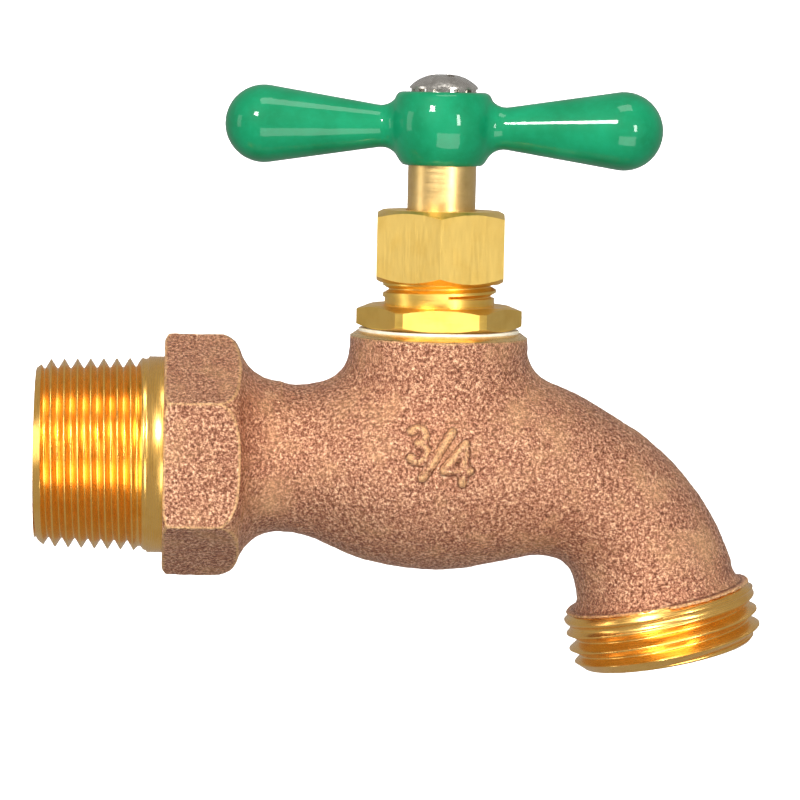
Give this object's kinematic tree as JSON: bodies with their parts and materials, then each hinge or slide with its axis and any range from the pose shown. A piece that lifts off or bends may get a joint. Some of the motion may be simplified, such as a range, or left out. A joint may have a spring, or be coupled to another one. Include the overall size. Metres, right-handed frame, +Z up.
{
  "type": "hose bib",
  "caption": "Wall garden tap with a male pipe inlet behind a wrench hexagon, a cast globe body, a screw-down stem with tee handle and a drooping male hose outlet.",
  "frame": {"origin": "centre of the inlet's end face, on the inlet axis", "axes": "+X along the inlet away from the wall pipe, +Z up along the stem, so -X points out of the inlet's mouth"},
  "size_m": [0.1018, 0.0294, 0.0831],
  "materials": {
    "cast_bronze": "as-cast, fine sand texture, threads and hexagon edges bright",
    "turned_brass": "machined, satin",
    "fibre": "pale, slightly translucent fibre",
    "packing": "graphited packing",
    "seat_rubber": "moulded",
    "green_enamel": "glossy enamel",
    "nickel_plate": "nickel plated"
  },
  "bodies": {
    "fixed": {"valve_body": "cast_bronze", "bonnet_gasket": "fibre", "bonnet": "turned_brass", "packing_washer": "turned_brass", "packing_ring": "packing", "packing_gland": "turned_brass", "packing_nut": "turned_brass"},
    "washer": {"seat_washer": "seat_rubber"},
    "spindle": {"stem": "turned_brass", "seat_washer_screw": "turned_brass", "tee_handle": "green_enamel", "lock_washer": "nickel_plate", "handle_screw": "nickel_plate"}
  },
  "joints": [
    {"name": "stem_lift", "type": "slide", "parent": "fixed", "child": "washer", "axis": [0, 0, 1], "range_m": [0, 0.0064]},
    {"name": "handle_turn", "type": "hinge", "parent": "washer", "child": "spindle", "pos_m": [0.0558, 0, 0.0462], "axis": [0, 0, 1], "range_deg": [0, 900]}
  ],
  "couplings": [
    {"joint": "stem_lift", "follows": "handle_turn", "m_per_rad": 0.00040425}
  ]
}
